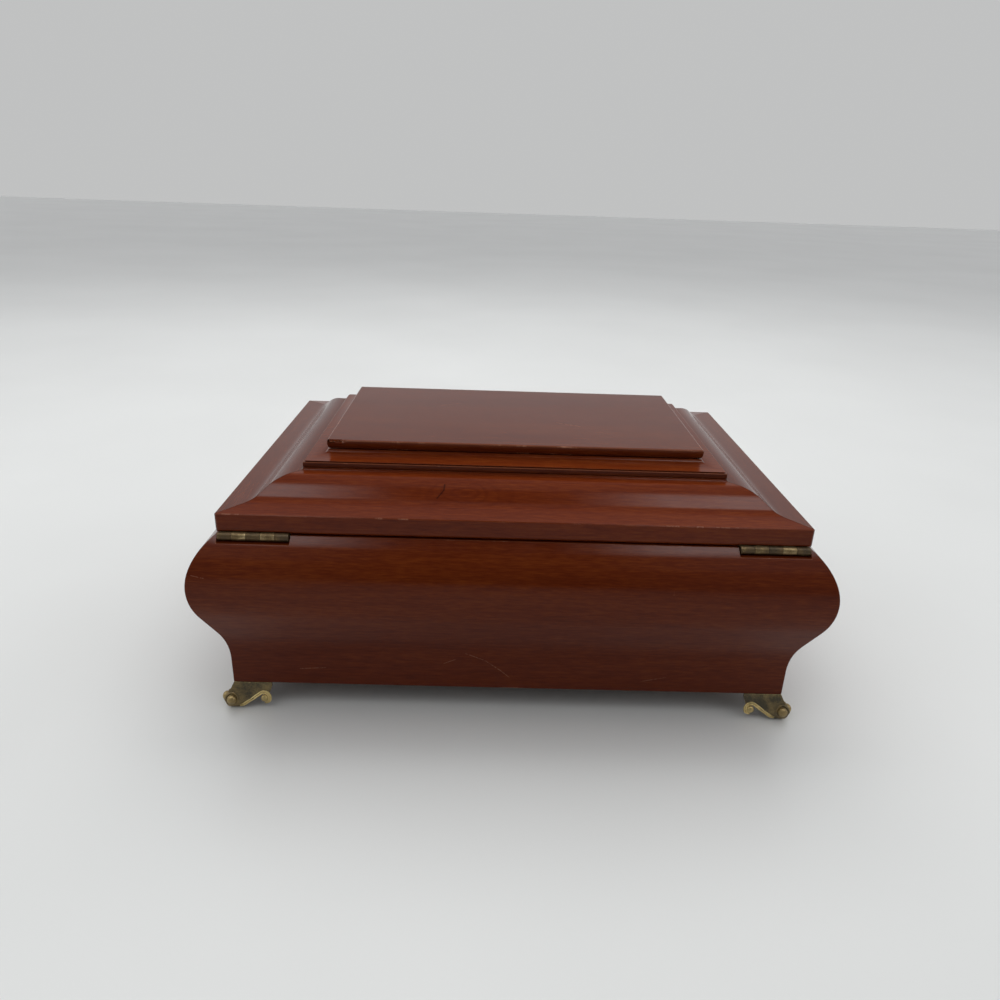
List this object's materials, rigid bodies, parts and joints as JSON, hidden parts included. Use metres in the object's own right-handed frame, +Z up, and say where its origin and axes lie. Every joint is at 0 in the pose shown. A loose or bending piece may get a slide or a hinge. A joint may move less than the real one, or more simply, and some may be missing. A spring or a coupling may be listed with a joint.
{
  "type": "musical jewelry box",
  "caption": "Bombe wooden jewelry box on cast scroll feet, with a stepped hinged lid, mirror, lift-out tray and a wind-up musical movement.",
  "frame": {"origin": "the floor under the middle of the box", "axes": "+X to the right seen from the front, +Y towards the hinges at the rear, +Z up"},
  "size_m": [0.2948, 0.215, 0.1249],
  "materials": {
    "mahogany": "glossy red-brown lacquer",
    "mahogany_top": "glossy red-brown lacquer",
    "plain_wood": "plain sanded",
    "old_brass": "aged, dark in the hollows",
    "bright_brass": "bright",
    "steel": "bright ground",
    "zinc": "dull plated",
    "velvet": "dark red velvet",
    "mirror": "silvered",
    "moulded": "plain moulded"
  },
  "bodies": {
    "case": {"bottom_board": "plain_wood", "case_front": "mahogany", "case_left": "mahogany", "case_rear": "mahogany", "case_right": "mahogany", "comb": "steel", "comb_screw_1": "steel", "comb_screw_2": "steel", "floor_pad": "velvet", "foot_front_left": "old_brass", "foot_front_right": "old_brass", "foot_rear_left": "old_brass", "foot_rear_right": "old_brass", "foot_screw_front_left": "old_brass", "foot_screw_front_right": "old_brass", "foot_screw_rear_left": "old_brass", "foot_screw_rear_right": "old_brass", "governor_housing": "moulded", "hinge_case_leaf_left": "old_brass", "hinge_case_leaf_right": "old_brass", "hinge_pin_left": "old_brass", "hinge_pin_right": "old_brass", "lid_stay_stud": "bright_brass", "movement_bedplate": "zinc", "movement_cover": "velvet", "movement_partition": "plain_wood", "ring_cushion": "velvet", "spring_barrel": "zinc", "stop_rod_guide": "bright_brass", "tray_base": "velvet", "tray_divider_back": "velvet", "tray_divider_front": "velvet", "tray_divider_ring": "velvet", "tray_front": "plain_wood", "tray_left": "plain_wood", "tray_rail_front": "plain_wood", "tray_rail_rear": "plain_wood", "tray_rear": "plain_wood", "tray_right": "plain_wood"},
    "lid": {"hinge_lid_leaf_left": "old_brass", "hinge_lid_leaf_right": "old_brass", "lid_board": "mahogany_top", "lid_cove": "mahogany_top", "lid_lining": "velvet", "lid_moulding_front": "mahogany_top", "lid_moulding_left": "mahogany_top", "lid_moulding_rear": "mahogany_top", "lid_moulding_right": "mahogany_top", "lid_slab": "mahogany_top", "lid_stay_bracket": "bright_brass", "lid_stay_rivet": "bright_brass", "mirror": "mirror"},
    "lid_stay": {"lid_stay_arm": "bright_brass"},
    "winding_key": {"great_wheel": "bright_brass", "winding_key": "bright_brass"},
    "cylinder": {"music_cylinder": "bright_brass"},
    "governor_pinion": {"governor_pinion": "bright_brass"},
    "governor_fan": {"governor_fan": "moulded"},
    "stop_rod": {"stop_rod": "bright_brass"},
    "stop_lever": {"stop_lever": "steel"}
  },
  "joints": [
    {"name": "lid_hinge", "type": "hinge", "parent": "case", "child": "lid", "pos_m": [0, 0.09565, 0.0927], "axis": [-1, 0, 0], "range_deg": [0, 100]},
    {"name": "lid_stay_pivot", "type": "hinge", "parent": "lid", "child": "lid_stay", "pos_m": [0.1254, 0.06079, 0.08965], "axis": [-1, 0, 0], "range_deg": [-50, 0]},
    {"name": "key_turn", "type": "hinge", "parent": "case", "child": "winding_key", "pos_m": [-0.095, -0.02, 0.0168], "axis": [0, 0, 1], "continuous": true},
    {"name": "cylinder_turn", "type": "hinge", "parent": "case", "child": "cylinder", "pos_m": [-0.095, -0.0062, 0.0324], "axis": [0, 1, 0], "continuous": true},
    {"name": "governor_pinion_turn", "type": "hinge", "parent": "case", "child": "governor_pinion", "pos_m": [-0.1046, 0.0128, 0.0324], "axis": [0, 1, 0], "continuous": true},
    {"name": "governor_fan_turn", "type": "hinge", "parent": "case", "child": "governor_fan", "pos_m": [-0.108, 0.008, 0.0369], "axis": [0, 0, 1], "continuous": true},
    {"name": "stop_rod_slide", "type": "slide", "parent": "case", "child": "stop_rod", "axis": [0, 0, 1], "range_m": [0, 0.0035]},
    {"name": "stop_lever_turn", "type": "hinge", "parent": "case", "child": "stop_lever", "pos_m": [-0.1155, 0.008, 0.0419], "axis": [0, 1, 0], "range_deg": [0, 18.5]}
  ],
  "couplings": [
    {"joint": "lid_stay_pivot", "follows": "lid_hinge", "ratio": -0.5},
    {"joint": "cylinder_turn", "follows": "key_turn", "ratio": 2},
    {"joint": "governor_pinion_turn", "follows": "key_turn", "ratio": -6},
    {"joint": "governor_fan_turn", "follows": "key_turn", "ratio": 72},
    {"joint": "stop_rod_slide", "follows": "lid_hinge", "m_per_rad": 0.002},
    {"joint": "stop_lever_turn", "follows": "lid_hinge", "ratio": 0.18}
  ]
}
